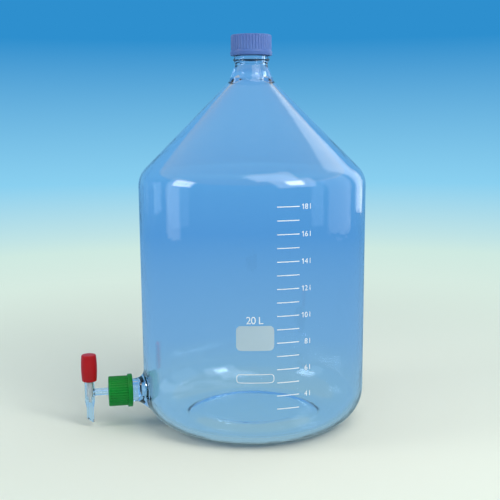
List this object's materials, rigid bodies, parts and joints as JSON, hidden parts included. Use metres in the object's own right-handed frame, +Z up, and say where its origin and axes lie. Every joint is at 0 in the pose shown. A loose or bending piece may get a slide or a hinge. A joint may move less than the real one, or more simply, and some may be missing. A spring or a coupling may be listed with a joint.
{
  "type": "glass aspirator bottle",
  "caption": "Large clear glass bottle with a screw cap and a needle-valve tap on a side tube near its foot, for storing liquid and drawing it off.",
  "frame": {"origin": "centre of the foot ring, on the surface that the bottle stands on", "axes": "+Z up along the bottle's axis, the tap points along -X, the printed side faces -Y"},
  "size_m": [0.366, 0.2878, 0.4922],
  "materials": {
    "clear_glass": "blown, fire polished",
    "tap_glass": "lamp worked",
    "blue_plastic": "moulded, satin",
    "green_plastic": "moulded, satin",
    "red_plastic": "moulded, satin",
    "white_fluoropolymer": "turned",
    "seal_rubber": "moulded"
  },
  "bodies": {
    "bottle": {"bottle": "clear_glass"},
    "pouring_ring": {"pouring_ring": "blue_plastic"},
    "screw_cap": {"screw_cap": "blue_plastic"},
    "tap_seal": {"tap_seal": "seal_rubber"},
    "tap_nut": {"tap_nut": "green_plastic"},
    "stopcock": {"stopcock_body": "tap_glass"},
    "spindle": {"valve_spindle": "white_fluoropolymer"},
    "knob": {"valve_knob": "red_plastic"}
  },
  "joints": [
    {"name": "cap_turn", "type": "hinge", "parent": "bottle", "child": "pouring_ring", "pos_m": [0, 0, 0.48], "axis": [0, 0, 1], "continuous": true},
    {"name": "cap_lift", "type": "slide", "parent": "pouring_ring", "child": "screw_cap", "axis": [0, 0, 1], "range_m": [0, 0.06]},
    {"name": "tap_draw", "type": "slide", "parent": "bottle", "child": "tap_seal", "axis": [-1, 0, 0], "range_m": [0, 0.04]},
    {"name": "nut_turn", "type": "hinge", "parent": "tap_seal", "child": "tap_nut", "pos_m": [-0.17, 0, 0.045], "axis": [-1, 0, 0], "continuous": true},
    {"name": "tap_swivel", "type": "hinge", "parent": "tap_seal", "child": "stopcock", "pos_m": [-0.18, 0, 0.045], "axis": [-1, 0, 0], "range_deg": [-90, 90]},
    {"name": "valve_lift", "type": "slide", "parent": "stopcock", "child": "spindle", "axis": [0, 0, 1], "range_m": [0, 0.004]},
    {"name": "valve_turn", "type": "hinge", "parent": "spindle", "child": "knob", "pos_m": [-0.21205, 0, 0.07], "axis": [0, 0, 1], "range_deg": [0, 720]}
  ],
  "couplings": [
    {"joint": "valve_lift", "follows": "valve_turn", "m_per_rad": 0.0003183}
  ]
}
